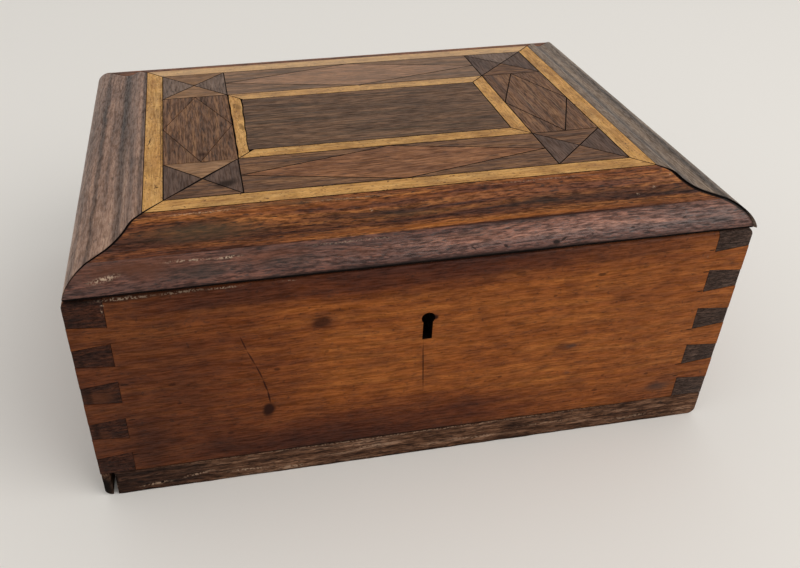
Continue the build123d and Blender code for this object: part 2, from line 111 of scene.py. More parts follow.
def cutAcross(piece, axis, step):  # cuts the piece into short lengths, so that its surface can move
    low, high = (corner[axis] for corner in pieceBox(piece))
    normal = [0, 0, 0]
    normal[axis] = 1
    pickOnly(piece)
    bpy.ops.object.mode_set(mode="EDIT")
    count = max(1, round((high - low) / (step * mm)))
    for number in range(1, count):
        cut = [0, 0, 0]
        cut[axis] = low + (high - low) * number / count
        bpy.ops.mesh.select_all(action="SELECT")
        bpy.ops.mesh.bisect(plane_co=cut, plane_no=normal)
    bpy.ops.object.mode_set(mode="OBJECT")


def pieceBox(piece):
    points = [vertex.co for vertex in piece.data.vertices]
    return [[pick(p[axis] for p in points) for axis in range(3)] for pick in (min, max)]


def wearSurface(piece, depth, size):  # a hand-planed, knocked surface, always inwards
    lumps = bpy.data.textures.new(piece.name + "Lumps", "CLOUDS")
    lumps.noise_scale = size * mm
    lumps.noise_depth = 3
    applyModifier(piece, "DISPLACE", texture=lumps, strength=depth * mm, mid_level=1.0)
    bpy.data.textures.remove(lumps)


def dressFaces(piece, materials, choose=None):
    for material in materials:
        piece.data.materials.append(material)
    for polygon in piece.data.polygons:
        polygon.material_index = choose(polygon) if choose else 0


def finishPiece(piece, node, smoothAngle=30):
    pickOnly(piece)
    bpy.ops.object.shade_smooth_by_angle(angle=math.radians(smoothAngle))
    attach(piece, bodyOfNode[node])
    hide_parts(node)


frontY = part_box("front_wall")[0].y
markDepth = 14.0  # how far back from the front face a mark can reach
proudLevels = (0.46, 0.56)  # grit heights between which a scuff starts to show


def addMarks(tree, place, colour, group):  # knocks, stains and scratches, each an oval on one face
    drift = addNode(tree, "TexNoise", {"Vector": place, "Scale": 1 / (group["raggedSize"] * mm), "Detail": 3.0})
    raggedPlace = addNode(tree, "VectorMath", {0: drift.outputs["Color"], 1: [group["ragged"] * mm] * 3, 2: place},
                          operation="MULTIPLY_ADD").outputs["Vector"]
    half = group["ragged"] * mm / 2
    total = None
    for along, up, halfLength, halfWidth, turn, strength in group["marks"]:
        if group["face"] == "front":
            at = (along * mm + half, frontY + half, up * mm + half)
            turned = (0, -math.radians(turn), 0)
            size = (halfLength * mm, markDepth * mm, halfWidth * mm)
        else:
            at = (along * mm + half, up * mm + half, 0)
            turned = (0, 0, math.radians(turn))
            size = (halfLength * mm, halfWidth * mm, 1)
        oval = addNode(tree, "Mapping", {"Vector": raggedPlace, "Location": at, "Rotation": turned, "Scale": size},
                       vector_type="TEXTURE")
        reach = addNode(tree, "VectorMath", {0: oval.outputs["Vector"]}, operation="LENGTH")
        spot = addNode(tree, "MapRange", {"Value": reach.outputs["Value"], "From Min": group["core"],
                                          "From Max": 1.0, "To Min": strength, "To Max": 0.0},
                       interpolation_type="SMOOTHSTEP").outputs["Result"]
        total = addNode(tree, "Math", {0: total, 1: spot}, operation="MAXIMUM").outputs[0] if total else spot
    if group.get("broken"):  # scuffs show only where the surface stands proud
        grit = addNode(tree, "TexNoise", {"Vector": place, "Scale": 1 / (group["broken"] * mm), "Detail": 2.0})
        proud = addNode(tree, "MapRange", {"Value": grit.outputs["Fac"], "From Min": proudLevels[0],
                                           "From Max": proudLevels[1]})
        total = addNode(tree, "Math", {0: total, 1: proud.outputs["Result"]}, operation="MULTIPLY").outputs[0]
    marked = addNode(tree, "MixRGB", {"Fac": total, "Color1": colour, "Color2": toLinear(group["colour"])},
                     blend_type=group["blend"])
    return marked.outputs["Color"], total


# what all the timbers share: how each pattern's noise becomes colour, and how deep its relief is
grain = {
    "ringStops": [(0.45, "ffffff"), (0.95, "7d6a60")], "ringTurns": 0.314,  # one ring per ringWidth
    "fibreStops": [(0.38, "46362e"), (0.49, "b9aca2"), (0.58, "ffffff")],
    "blotchStops": [(0.36, "7c6660"), (0.58, "ffffff")],
    "poreLevels": (0.4, 0.3), "speckLevels": (0.66, 0.72), "polishLevels": (0.38, 0.56), "thinPolish": 0.25,
    "paintedSheenColour": "cdb8a2", "relief": 0.3, "blotchStretch": 1.6, "woodIor": 1.5, "shellacIor": 1.52}


def makeTimber(name, look, axis, markGroups=()):  # axis is the way the grain runs
    material = bpy.data.materials.new(name)
    material.use_nodes = True
    tree = material.node_tree
    tree.nodes.clear()
    place = addNode(tree, "TexCoord").outputs["Object"]
    sway = addNode(tree, "TexNoise", {"Vector": place, "Scale": 1 / (look["swaySize"] * mm), "Detail": 1.0})
    swayed = addNode(tree, "VectorMath", {0: sway.outputs["Color"], 1: [look["sway"] * mm] * 3, 2: place},
                     operation="MULTIPLY_ADD").outputs["Vector"]

    def alongGrain(size):
        scale = [1 / (size[1] * mm)] * 3
        scale[axis] = 1 / (size[0] * mm)
        return addNode(tree, "Mapping", {"Vector": swayed, "Scale": scale,
                                         "Location": [look["shift"]] * 3}).outputs["Vector"]

    def tint(colour, amount, by):
        return addNode(tree, "MixRGB", {"Fac": amount, "Color1": colour, "Color2": by},
                       blend_type="MULTIPLY").outputs["Color"]

    streaks = addNode(tree, "TexNoise", {"Vector": alongGrain(look["streak"]), "Scale": 1.0, "Detail": 6.0,
                                         "Roughness": 0.62}).outputs["Fac"]
    colour = addNode(tree, "ValToRGB", {"Fac": streaks}, stops=look["tones"]).outputs["Color"]

    turn = [0, 0, 0]
    turn[2 if axis < 2 else 0] = math.radians(look["ringTilt"])
    pith = addNode(tree, "Mapping", {"Vector": swayed, "Rotation": turn, "Location": [p * mm for p in look["pith"]]})
    rings = addNode(tree, "TexWave", {"Vector": pith.outputs["Vector"],
                                      "Scale": grain["ringTurns"] / (look["ringWidth"] * mm),
                                      "Distortion": look["ringSway"], "Detail": 2.0, "Detail Scale": 0.5},
                    wave_type="RINGS", rings_direction="XYZ"[axis], wave_profile="SIN").outputs["Fac"]
    ringTone = addNode(tree, "ValToRGB", {"Fac": rings}, stops=grain["ringStops"])
    colour = tint(colour, look["ringDepth"], ringTone.outputs["Color"])

    fibre = addNode(tree, "TexNoise", {"Vector": alongGrain(look["fibre"]), "Scale": 1.0, "Detail": 3.0,
                                       "Roughness": 0.7}).outputs["Fac"]
    fibreTone = addNode(tree, "ValToRGB", {"Fac": fibre}, stops=grain["fibreStops"])
    colour = tint(colour, look["fibreDepth"], fibreTone.outputs["Color"])

    patch = (look["blotch"] * grain["blotchStretch"], look["blotch"])
    blotch = addNode(tree, "TexNoise", {"Vector": alongGrain(patch), "Scale": 1.0, "Detail": 5.0,
                                        "Roughness": 0.68}).outputs["Fac"]
    blotchTone = addNode(tree, "ValToRGB", {"Fac": blotch}, stops=grain["blotchStops"])
    colour = tint(colour, look["blotchDepth"], blotchTone.outputs["Color"])

    pores = addNode(tree, "TexNoise", {"Vector": alongGrain(look["pore"]), "Scale": 1.0,
                                       "Detail": 1.0}).outputs["Fac"]
    poreMask = addNode(tree, "MapRange", {"Value": pores, "From Min": grain["poreLevels"][0],
                                          "From Max": grain["poreLevels"][1], "To Min": 0.0,
                                          "To Max": look["poreDepth"]}).outputs["Result"]
    colour = addNode(tree, "MixRGB", {"Fac": poreMask, "Color1": colour,
                                      "Color2": toLinear(look["poreColour"])}).outputs["Color"]
    specks = addNode(tree, "TexNoise", {"Vector": place, "Scale": 1 / (look["speck"] * mm), "Detail": 2.0})
    speckMask = addNode(tree, "MapRange", {"Value": specks.outputs["Fac"], "From Min": grain["speckLevels"][0],
                                           "From Max": grain["speckLevels"][1], "To Min": 0.0,
                                           "To Max": look["speckDepth"]}).outputs["Result"]
    colour = addNode(tree, "MixRGB", {"Fac": speckMask, "Color1": colour,
                                      "Color2": toLinear(look["poreColour"])}).outputs["Color"]
    # a last mix lightens the colour towards a pale tone: painted sheen, used on the back veneers, which catch the
    # light at a grazing angle
    colour = addNode(tree, "MixRGB", {"Fac": look["paintedSheen"], "Color1": colour,
                                      "Color2": toLinear(grain["paintedSheenColour"])}).outputs["Color"]
    polish = addNode(tree, "MapRange", {  # it lies thin over open pores
        "Value": fibre, "From Min": grain["polishLevels"][0], "From Max": grain["polishLevels"][1],
        "To Min": grain["thinPolish"] * look["polish"], "To Max": look["polish"]}).outputs["Result"]
    for group in markGroups:
        colour, reach = addMarks(tree, place, colour, group)
        if group["blend"] == "MIX":  # dirt and scuffs are matt
            polish = addNode(tree, "MapRange", {"Value": reach, "To Min": polish, "To Max": 0.0}).outputs["Result"]

    height = addNode(tree, "Math", {0: pores, 1: fibre}, operation="ADD").outputs[0]
    bump = addNode(tree, "Bump", {"Height": height, "Strength": look["bump"], "Distance": grain["relief"] * mm})
    shader = addNode(tree, "BsdfPrincipled", {
        "Base Color": colour, "Roughness": look["rough"], "IOR": grain["woodIor"], "Specular IOR Level": look["bare"],
        "Coat Weight": polish, "Coat Roughness": look["sheen"], "Coat IOR": grain["shellacIor"],
        "Normal": bump.outputs["Normal"], "Coat Normal": bump.outputs["Normal"]})
    addNode(tree, "OutputMaterial", {"Surface": shader.outputs["BSDF"]})
    return material


# tones are the colours across the streaks; streak, fibre and pore are a length along the grain and a width across it;
# the real fibres and pores are 0.1 to 0.3 wide, and are drawn several times as coarse so that they show;
# bare is the wood's own shine, polish is how full the shellac over it is, and sheen is the shellac's roughness
baseLook = {
    "swaySize": 70, "sway": 6, "shift": 0.0, "ringTilt": 2.0, "pith": (0, 60, 140), "ringWidth": 5.0, "ringSway": 1.5,
    "ringDepth": 0.2, "streak": (80, 4.0), "fibre": (12, 1.0), "fibreDepth": 0.5, "pore": (5.0, 0.9),
    "poreDepth": 0.6, "poreColour": "1c0c06", "blotch": 20, "blotchDepth": 0.6, "speck": 3.0, "speckDepth": 0.0,
    "bump": 0.3, "rough": 0.6, "bare": 0.06, "polish": 0.65, "sheen": 0.45, "paintedSheen": 0.0}

# mahogany: plain reddish brown, faint figure, small dark specks, thin old polish
mahogany = baseLook | {
    "tones": [(0.3, "884613"), (0.5, "98541c"), (0.7, "a86428")],
    "swaySize": 60, "sway": 5, "streak": (50, 4.0), "ringDepth": 0.22, "ringWidth": 6.0, "ringTilt": 4.0,
    "fibre": (9, 0.75), "fibreDepth": 0.4, "pore": (3.0, 0.8), "poreDepth": 0.35, "blotch": 7, "blotchDepth": 0.4,
    "speckDepth": 0.35, "speck": 2.2, "bump": 0.2, "polish": 0.32}
# walnut: brown with soft darker bands and open pores under a thin polish
walnut = baseLook | {
    "tones": [(0.34, "61301a"), (0.44, "864a20"), (0.52, "a15e29"), (0.6, "b87434"), (0.72, "8d4f22")],
    "swaySize": 80, "sway": 4.0, "streak": (110, 3.2), "ringWidth": 3.6, "ringDepth": 0.25, "fibreDepth": 0.75,
    "fibre": (6, 0.85), "pore": (4.0, 0.8), "poreDepth": 0.75, "blotch": 12, "blotchDepth": 0.5, "bump": 0.6,
    "polish": 0.5, "sheen": 0.48}
# the rounded edge has been rubbed by hands for years: redder, and glossy enough to carry a broad sheen
rubbedWalnut = walnut | {
    "tones": [(0.34, "592a19"), (0.44, "744028"), (0.52, "8a5138"), (0.6, "a0664a"), (0.72, "76412b")],
    "bare": 0.2, "polish": 1.0, "sheen": 0.27, "bump": 0.8, "fibreDepth": 0.8}
# the left moulding's walnut is made greyer: painted sheen, the pale floor's grazing reflection, on top of the real
# sheen of its polish
sheenGreyWalnut = walnut | {
    "tones": [(0.32, "6d5347"), (0.46, "8d6d5b"), (0.56, "a98570"), (0.68, "bb9a82"), (0.8, "836654")],
    "streak": (160, 4.5), "fibreDepth": 0.4, "poreDepth": 0.35, "blotchDepth": 0.35, "polish": 0.9}
# the right moulding is the darkest walnut, dull and brown-grey
darkWalnut = walnut | {
    "tones": [(0.32, "534438"), (0.46, "6e5c4c"), (0.56, "836f5d"), (0.68, "99836c"), (0.8, "675548")],
    "streak": (160, 4.5), "fibreDepth": 0.4, "poreDepth": 0.35, "blotchDepth": 0.35, "polish": 0.9}
# worn walnut: the same timber on the base, scuffed, dry and dull
wornWalnut = walnut | {
    "tones": [(0.34, "4a2e1e"), (0.46, "6a4831"), (0.56, "84614a"), (0.66, "a0816a"), (0.76, "6e4c36")],
    "streak": (40, 2.6), "speckDepth": 0.6, "bump": 0.9, "rough": 0.7, "polish": 0.25, "sheen": 0.62}
# boxwood: pale yellow and close-grained, ambered by polish, with dirt in its fine pores
boxwood = baseLook | {
    "tones": [(0.3, "bf8a49"), (0.5, "d29e57"), (0.7, "dfb06b")],
    "sway": 2.0, "streak": (40, 3.0), "ringDepth": 0.05, "fibre": (8, 0.9), "fibreDepth": 0.3, "pore": (2.0, 0.7),
    "poreDepth": 0.6, "poreColour": "553418", "blotch": 9, "blotchDepth": 0.45, "speck": 1.6, "speckDepth": 0.85,
    "bump": 0.2, "polish": 0.5}
# rosewood: cool dark brown with fine straight lines
rosewood = baseLook | {
    "tones": [(0.34, "51391f"), (0.5, "704f33"), (0.64, "866143"), (0.76, "5f442e")],
    "sway": 2.0, "streak": (50, 1.8), "ringWidth": 2.4, "fibreDepth": 0.6, "fibre": (9, 0.7), "pore": (6.0, 0.8),
    "poreDepth": 0.65, "blotch": 14, "blotchDepth": 0.35, "polish": 0.6, "sheen": 0.48}
# tulipwood: reddish brown, cut thin for the diamonds
redVeneer = rosewood | {
    "tones": [(0.32, "774725"), (0.5, "935f37"), (0.66, "a87247"), (0.78, "84532e")], "streak": (45, 2.4)}
# walnut veneer beside the diamonds, a shade darker and streakier
groundVeneer = rosewood | {
    "tones": [(0.34, "553720"), (0.5, "7b5334"), (0.62, "91663f"), (0.76, "64432a")], "streak": (45, 2.4)}
# plum, walnut and tan veneers of the corner squares
plumVeneer = rosewood | {
    "tones": [(0.3, "4e372c"), (0.5, "5c4335"), (0.7, "6a4e3f")], "fibreDepth": 0.4, "poreDepth": 0.4,
    "streak": (40, 4.0)}
tanVeneer = rosewood | {
    "tones": [(0.3, "805c3e"), (0.5, "966f4b"), (0.7, "a87f5a")], "fibreDepth": 0.4, "streak": (40, 3.0)}
greyVeneer = rosewood | {
    "tones": [(0.3, "6a5548"), (0.5, "7b6456"), (0.7, "8b7363")], "fibreDepth": 0.4, "streak": (40, 3.0)}
# pine: the carcass wood inside, dusty yellow brown and unpolished
pine = baseLook | {
    "tones": [(0.3, "8a6a48"), (0.5, "a58460"), (0.7, "b59674")], "rough": 0.75, "bare": 0.3, "polish": 0.0,
    "streak": (140, 6.0), "ringDepth": 0.6, "ringWidth": 4.0, "poreDepth": 0.1}
# mahogany end grain: cut across the fibres, so dark, matt and full of dots
endGrain = baseLook | {
    "tones": [(0.3, "2b1208"), (0.5, "45210f"), (0.7, "5c321a")], "streak": (9.0, 1.6), "fibre": (3.0, 0.7),
    "fibreDepth": 0.7, "pore": (0.9, 0.7), "poreDepth": 0.8, "poreColour": "120804", "sheen": 0.55,
    "sway": 1.0, "blotch": 6, "blotchDepth": 0.6, "ringDepth": 0.3, "ringWidth": 2.2, "polish": 0.25}
# the right wall's end grain, drier and greyer
dryEndGrain = endGrain | {"tones": [(0.3, "35271f"), (0.5, "4b382f"), (0.7, "614c41")], "blotchDepth": 0.4}
# wax and dirt packed into joints and holes; on the lid mouldings' lip the same near-black is painted shadow along the
# seam under the lid
grimeAndShadow = endGrain | {"tones": [(0.3, "0c0705"), (0.6, "170e0a")], "rough": 0.8, "polish": 0.0}


tarnishLevels = (0.35, 0.65)  # noise levels between which metal goes from dull to bright
metalRelief = 0.1


def makeMetal(name, look):
    material = bpy.data.materials.new(name)
    material.use_nodes = True
    tree = material.node_tree
    tree.nodes.clear()
    place = addNode(tree, "TexCoord").outputs["Object"]
    tarnish = addNode(tree, "TexNoise", {"Vector": place, "Scale": 1 / (look["patch"] * mm), "Detail": 5.0,
                                         "Roughness": 0.65}).outputs["Fac"]
    colour = addNode(tree, "ValToRGB", {"Fac": tarnish}, stops=look["tones"]).outputs["Color"]
    rough = addNode(tree, "MapRange", {"Value": tarnish, "From Min": tarnishLevels[0], "From Max": tarnishLevels[1],
                                       "To Min": look["rough"][1], "To Max": look["rough"][0]}).outputs["Result"]
    grit = addNode(tree, "TexNoise", {"Vector": place, "Scale": 1 / (look["grit"] * mm), "Detail": 2.0})
    bump = addNode(tree, "Bump", {"Height": grit.outputs["Fac"], "Strength": look["bump"],
                                  "Distance": metalRelief * mm})
    shader = addNode(tree, "BsdfPrincipled", {"Base Color": colour, "Metallic": look["metallic"], "Roughness": rough,
                                              "Normal": bump.outputs["Normal"]})
    addNode(tree, "OutputMaterial", {"Surface": shader.outputs["BSDF"]})
    return material


# brass gone brown in the hollows, brighter where it is handled
agedBrass = makeMetal("agedBrass", {"tones": [(0.35, "6a4c26"), (0.5, "a07c40"), (0.68, "c39b57")], "patch": 5.0,
                                    "rough": (0.28, 0.5), "grit": 0.5, "bump": 0.15, "metallic": 1.0})
# wrought iron with brown rust bloom over grey
agedIron = makeMetal("agedIron", {"tones": [(0.36, "3b2a20"), (0.5, "4a4440"), (0.66, "6d6a67")], "patch": 4.0,
                                  "rough": (0.42, 0.7), "grit": 0.6, "bump": 0.4, "metallic": 0.85})
grimeAndShadowTimber = makeTimber("grimeAndShadow", grimeAndShadow, 0)
print("metals ready")

# marks on the walls' front faces: along, up, half length, half width, turn and strength
frontMarks = [
    # The first three groups darken a band along the top, the left end and the bottom: painted shade under the lid's
    # overhang and towards the left, with some of the mahogany's own darker stain; the bottom is simply made darker.
    {"face": "front", "colour": "b2a2ac", "blend": "MULTIPLY", "raggedSize": 30, "ragged": 14, "core": 0.1,
     "marks": [(-60, 14, 170, 36, 0, 1.0), (0, 116, 220, 18, 0, 1.0), (130, 20, 50, 26, 0, 0.6)]},
    {"face": "front", "colour": "c0aea4", "blend": "MULTIPLY", "raggedSize": 24, "ragged": 12, "core": 0.3,
     "marks": [(-86, 62, 56, 70, 0, 0.75), (-10, 24, 130, 24, 0, 0.9), (-20, 110, 190, 13, 0, 1.0)]},
    {"face": "front", "colour": "9c8a7c", "blend": "MULTIPLY", "raggedSize": 34, "ragged": 16, "core": 0.25,
     "marks": [(-165, 60, 112, 100, 0, 0.9), (-60, 10, 130, 26, 0, 0.5), (-110, 108, 70, 16, 0, 0.5)]},
    {"face": "front", "colour": "a89aa0", "blend": "MULTIPLY", "raggedSize": 9, "ragged": 6, "core": 0.1,
     "marks": [(-128, 34, 16, 26, 0, 0.8), (-46, 91, 11, 9, 10, 0.7), (-95, 24, 22, 7, 5, 0.6),
               (72, 57, 13, 6, 8, 0.6), (30, 30, 26, 6, 3, 0.5), (-20, 64, 15, 7, -4, 0.4),
               (100, 86, 14, 6, 0, 0.4), (-112, 100, 12, 5, 0, 0.6)]},
    {"face": "front", "colour": "2a130b", "blend": "MIX", "raggedSize": 4, "ragged": 1.4, "core": 0.45,
     "marks": [(-71.8, 43.2, 5.6, 3.7, 80, 1.0), (-46.5, 90.8, 5.6, 3.6, 10, 0.7), (-67, 67.2, 1.9, 1.2, 0, 0.6),
               (-113.6, 65.6, 2.0, 1.2, 0, 0.6), (-111.7, 53.9, 1.4, 1.0, 0, 0.6), (-90.3, 31, 2.2, 1.3, 0, 0.6),
               (-44.3, 74.1, 1.4, 0.9, 0, 0.5), (82.1, 99.7, 2.8, 1.1, 0, 0.75), (42.8, 105.4, 3.4, 1.6, 0, 0.5),
               (91.3, 27.1, 2.2, 1.3, 0, 0.6), (61.3, 90.5, 1.4, 0.9, 0, 0.5), (106.4, 56.9, 1.6, 1.0, 0, 0.5),
               (98.7, 59.2, 1.3, 0.9, 0, 0.5), (39.8, 44.6, 1.6, 1.0, 0, 0.5), (117.9, 33.6, 1.7, 1.1, 0, 0.6),
               (-77.6, 18.9, 2.0, 1.1, 0, 0.6), (94.1, 36.5, 1.3, 0.9, 0, 0.5), (4.6, 86.4, 2.6, 1.9, -20, 1.0)]},
    {"face": "front", "colour": "3b3330", "blend": "MIX", "raggedSize": 5, "ragged": 2.5, "core": 0.1,
     "marks": [(74, 58.7, 5.4, 1.9, 8, 0.6), (74.2, 41.6, 2.4, 1.4, 0, 0.45), (126.7, 23.8, 10, 5, 0, 0.6)]},
    {"face": "front", "colour": "26100a", "blend": "MIX", "raggedSize": 8, "ragged": 0.3, "core": 0.4,
     "marks": [(-81.0, 84.0, 5.6, 0.45, -73.6, 0.8), (-78.1, 75.3, 5.9, 0.5, -69.1, 0.8),
               (-75.0, 66.4, 5.9, 0.5, -73.3, 0.85), (-72.7, 57.9, 5.4, 0.55, -76.0, 0.9),
               (-71.4, 51.0, 5.0, 0.6, -83.0, 0.95), (0.9, 58.0, 19.5, 0.42, 93.1, 0.85)]},
    {"face": "front", "colour": "140b08", "blend": "MIX", "raggedSize": 6, "ragged": 0.4, "core": 0.5,
     "marks": [(-133.8, 68.9, 2.4, 0.4, 0, 0.9), (-133.4, 47.6, 2.0, 0.4, 0, 0.9), (-135.2, 25.4, 2.2, 0.4, 0, 0.9),
               (134.5, 106.4, 2.2, 0.4, 0, 0.9), (134.6, 94.2, 2.2, 0.4, 0, 0.9), (134.4, 83.1, 2.3, 0.4, 0, 0.9),
               (134.6, 59.8, 2.2, 0.4, 0, 0.9), (134.4, 37.3, 2.4, 0.4, 0, 0.9), (134.8, 29.4, 2.0, 0.4, 0, 0.9)]},
    # dark lines along the top and just above the base strip: painted shadow under the lid's edge and at the strip,
    # partly dirt in the seams
    {"face": "front", "colour": "1c100b", "blend": "MIX", "raggedSize": 5, "ragged": 1.2, "core": 0.4,
     "marks": [(0, 116.5, 190, 1.2, 0, 0.8), (-125, 115.2, 50, 2.1, 0, 0.7), (0, 15.0, 190, 1.0, 0, 0.85)]}]
ledgeScuffs = {
    "face": "front", "colour": "96826f", "blend": "MIX", "raggedSize": 2.5, "ragged": 1.1, "core": 0.2, "broken": 0.9,
    "marks": [(-128, 114.8, 18, 0.8, 0, 0.7), (-104, 114.9, 14, 0.6, 1, 0.6), (-87, 114.8, 10, 0.6, 0, 0.7),
              (-136.8, 109.6, 0.5, 2.4, 10, 0.7), (-136.2, 112.6, 1.2, 0.6, 0, 0.7), (-60, 114.8, 4, 0.3, 0, 0.5),
              (-131.0, 96.5, 0.5, 1.0, 0, 0.5), (133.0, 103.0, 0.5, 0.9, 0, 0.4)]}
pinScuffs = [ledgeScuffs, {
    "face": "front", "colour": "0d0705", "blend": "MIX", "raggedSize": 4, "ragged": 1.0, "core": 0.3,
    "marks": [(-144, 115.4, 12, 1.8, 0, 0.7), (-147, 88, 5, 0.5, 14, 0.6), (-143, 66, 6, 0.4, -9, 0.5),
              (-146, 45, 5, 0.5, 8, 0.6), (-144, 24, 6, 0.5, 12, 0.5), (144, 109, 6, 0.4, -8, 0.5),
              (145, 86, 5, 0.5, 12, 0.5), (143, 63, 5, 0.4, 6, 0.5), (145, 41, 5, 0.4, -10, 0.5),
              (-149.5, 60, 2.2, 50, 0, 0.5)]}]

wallX = makeTimber("mahoganyFront", mahogany, 0, [*frontMarks, ledgeScuffs])
# the sides and back are a shade darker, like the left end of the front, whose darkness is partly stain and partly
# painted shade
darkMahogany = mahogany | {"tones": [(0.3, "703a14"), (0.5, "7f461a"), (0.7, "8f5526")], "blotchDepth": 0.6}
wallBack = makeTimber("mahoganyBack", darkMahogany | {"shift": 5.0}, 0)
wallY = makeTimber("mahoganySides", darkMahogany | {"shift": 9.0}, 1)
pinWarmth = {
    "face": "front", "colour": "5a3420", "blend": "MIX", "raggedSize": 6, "ragged": 3, "core": 0.2,
    "marks": [(-145, 63, 9, 6, 0, 0.55), (-147, 40, 5, 4, 0, 0.35)]}
wallEnds = {"left_wall": makeTimber("mahoganyEndGrain", endGrain, 0, [pinWarmth, *pinScuffs]),
            "right_wall": makeTimber("dryMahoganyEndGrain", dryEndGrain, 0, pinScuffs)}
wallInside = makeTimber("mahoganyInside", mahogany | {"polish": 0.1, "shift": 3.0}, 0)
wallWork = {"ease": 0.35, "lengths": 6.0, "heights": 6.0, "wear": 0.16, "wearSize": 30.0, "skin": 2.0,
            "ends": 0.3, "faces": 0.8, "sides": 0.5, "keyholeReach": 10, "keyholeTop": 100}
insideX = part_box("floor_panel")[1].x
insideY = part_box("floor_panel")[1].y


def buildWall(node, longMaterial, across):  # across is the axis through the wall's thickness
    piece = copyOfNode(node, node + "_board")
    easeEdges(piece, wallWork["ease"])
    along = 1 - across
    cutAcross(piece, along, wallWork["lengths"])
    cutAcross(piece, 2, wallWork["heights"])
    inner = (insideX, insideY)[across]

    def choose(polygon):  # end grain, inside, keyhole, or the rest
        facing, middle = polygon.normal, polygon.center
        if abs(facing[along]) > wallWork["ends"] and abs(middle[along]) > (insideX, insideY)[along]:
            return 1
        if abs(middle[across]) < inner + wallWork["skin"] * mm and abs(facing[across]) > wallWork["faces"]:
            return 2
        if (abs(facing[across]) < wallWork["sides"] and abs(middle[along]) < wallWork["keyholeReach"] * mm
                and middle.z < wallWork["keyholeTop"] * mm):
            return 3
        return 0

    dressFaces(piece, [longMaterial, wallEnds.get(node, wallEnds["left_wall"]), wallInside, grimeAndShadowTimber], choose)
    wearSurface(piece, wallWork["wear"], wallWork["wearSize"])
    finishPiece(piece, node)


buildWall("front_wall", wallX, 1)
buildWall("back_wall", wallBack, 1)
buildWall("left_wall", wallY, 0)
buildWall("right_wall", wallY, 0)
print("walls done")

# base
stripMarks = [
    # a darker left end of the strip: painted shade, away from the light
    {"face": "front", "colour": "9c8b80", "blend": "MULTIPLY", "raggedSize": 12, "ragged": 5, "core": 0.3,
     "marks": [(-140, 7, 66, 16, 0, 1.0)]},
    {"face": "front", "colour": "9a806b", "blend": "MIX", "raggedSize": 3, "ragged": 2.0, "core": 0.1, "broken": 1.1,
     "marks": [(-128, 3.5, 11, 1.3, 4, 0.9), (-108, 6.2, 10, 1.1, 10, 0.85), (-84, 4.4, 14, 1.2, -3, 0.9),
               (-62, 2.4, 11, 1.4, 0, 0.9), (-20, 9.0, 20, 1.0, 2, 0.6), (30, 5.0, 18, 1.2, -2, 0.7),
               (70, 8.0, 22, 1.0, 0, 0.5), (115, 4.0, 18, 1.2, 2, 0.6), (0, 14.2, 155, 0.7, 0, 0.7),
               (-146.3, 7, 0.7, 7, 0, 0.9)]},
    # near-black marks: painted shadow in the open left mitre and along the strip's bottom edge, and dirt in small
    # dents
    {"face": "front", "colour": "0f0a08", "blend": "MIX", "raggedSize": 4, "ragged": 1.6, "core": 0.2,
     "marks": [(-152.0, 6.0, 8.0, 14, 0, 1.0), (-145.8, 10.0, 1.6, 5.5, 0, 0.9), (0, 0.4, 170, 0.9, 0, 0.7),
               (-118, 11.5, 7, 0.7, 3, 0.6), (-40, 12.0, 12, 0.6, 0, 0.5), (52, 11.5, 10, 0.6, 0, 0.5),
               (-98, 1.8, 4, 0.9, 0, 0.6), (88, 1.6, 5, 0.8, 0, 0.5)]}]
stripX = makeTimber("wornWalnutFront", wornWalnut, 0, stripMarks)
stripY = makeTimber("wornWalnutSides", wornWalnut | {"shift": 4.0}, 1, stripMarks[2:])
rawPine = makeTimber("pineCarcass", pine, 0)
stripWork = {"ease": 0.7, "lengths": 3.0, "wear": 0.7, "wearSize": 9.0}


def buildStrip(node, axis):
    piece = copyOfNode(node, node + "_worn")
    easeEdges(piece, stripWork["ease"], 3)
    cutAcross(piece, axis, stripWork["lengths"])
    cutAcross(piece, 2, stripWork["lengths"])
    dressFaces(piece, [(stripX, stripY)[axis]])
    wearSurface(piece, stripWork["wear"], stripWork["wearSize"])
    finishPiece(piece, node)


for node, axis in (("base_strip_front", 0), ("base_strip_back", 0), ("base_strip_left", 1), ("base_strip_right", 1)):
    buildStrip(node, axis)
pineWork = {"ease": 0.4, "tops": 0.5}


def glued(polygon):  # the lid panel's top, dark with glue under the veneers
    return int(node == "lid_panel" and polygon.normal.z > pineWork["tops"])


for node in ("base_board", "floor_panel", "lid_panel"):
    piece = copyOfNode(node, node + "_sawn")
    easeEdges(piece, pineWork["ease"])
    dressFaces(piece, [rawPine, grimeAndShadowTimber], glued)
    finishPiece(piece, node)
print("base done")
